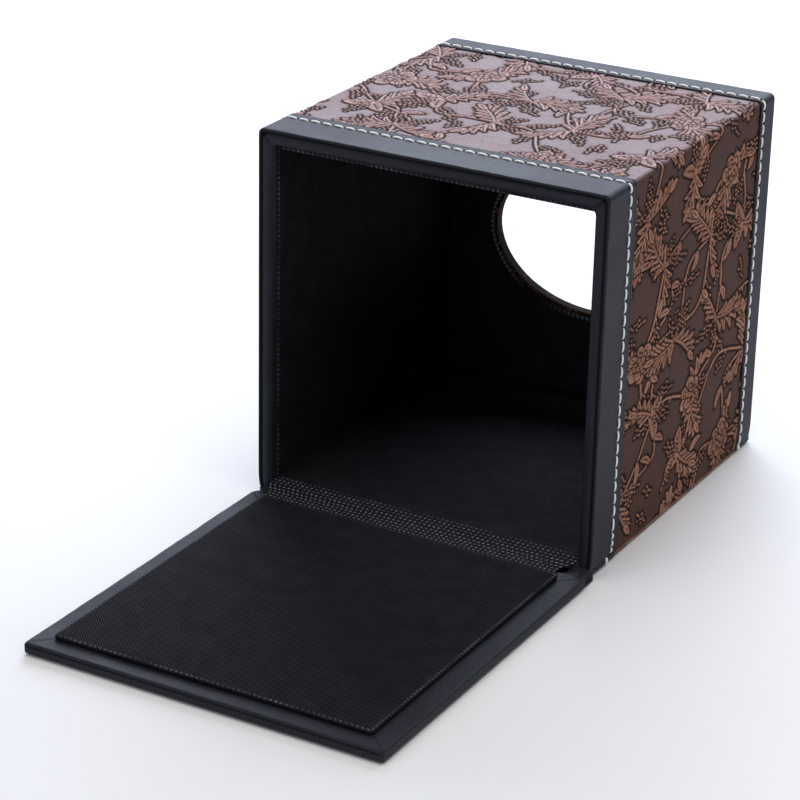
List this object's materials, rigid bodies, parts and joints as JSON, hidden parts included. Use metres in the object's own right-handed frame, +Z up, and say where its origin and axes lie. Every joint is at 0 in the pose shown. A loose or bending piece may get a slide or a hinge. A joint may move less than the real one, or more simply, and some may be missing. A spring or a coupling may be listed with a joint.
{
  "type": "cube tissue box cover",
  "caption": "Leather-covered cube cover for a square tissue box, lying on its side with its magnetic flap folded open and an oval dispensing hole in the far face.",
  "frame": {"origin": "centre of the box's underside as it lies, where the sewn bottom sheet meets the table", "axes": "+Z up; -Y out of the open mouth towards the flap; +X to the right when looking into the mouth"},
  "size_m": [0.1367, 0.2842, 0.1387],
  "materials": {
    "greyboard": "matte pressed board",
    "embossed_leather": "embossed antique brown with rubbed copper highlights",
    "black_leather": "smooth fine-grained satin",
    "lining": "dot-bonded non-woven",
    "magnet": "nickel plated",
    "thread": "waxed white sewing thread"
  },
  "bodies": {
    "box": {"top_board": "greyboard", "bottom_board": "greyboard", "left_board": "greyboard", "right_board": "greyboard", "rear_board": "greyboard", "embossed_wrap": "embossed_leather", "embossed_rear_panel": "embossed_leather", "bottom_embossed_sheet": "embossed_leather", "front_band": "black_leather", "rear_band": "black_leather", "bottom_front_band": "black_leather", "bottom_rear_band": "black_leather", "top_lining": "lining", "floor_lining": "lining", "left_lining": "lining", "right_lining": "lining", "rear_lining": "lining", "front_stitching": "thread", "rear_stitching": "thread", "rear_face_stitching": "thread", "bottom_front_stitching": "thread", "bottom_rear_stitching": "thread", "rim_magnet": "magnet", "hinge_leather": "black_leather", "hinge_lining": "lining"},
    "flap": {"flap_leather": "black_leather", "flap_board": "greyboard", "flap_magnet": "magnet", "pad_board": "greyboard", "pad_fabric": "lining"}
  },
  "joints": [
    {"name": "flap_hinge", "type": "hinge", "parent": "box", "child": "flap", "pos_m": [0, -0.07455, -0.00075], "axis": [-1, 0, 0], "range_deg": [0, 90], "deforming": ["hinge_leather", "hinge_lining"]}
  ]
}
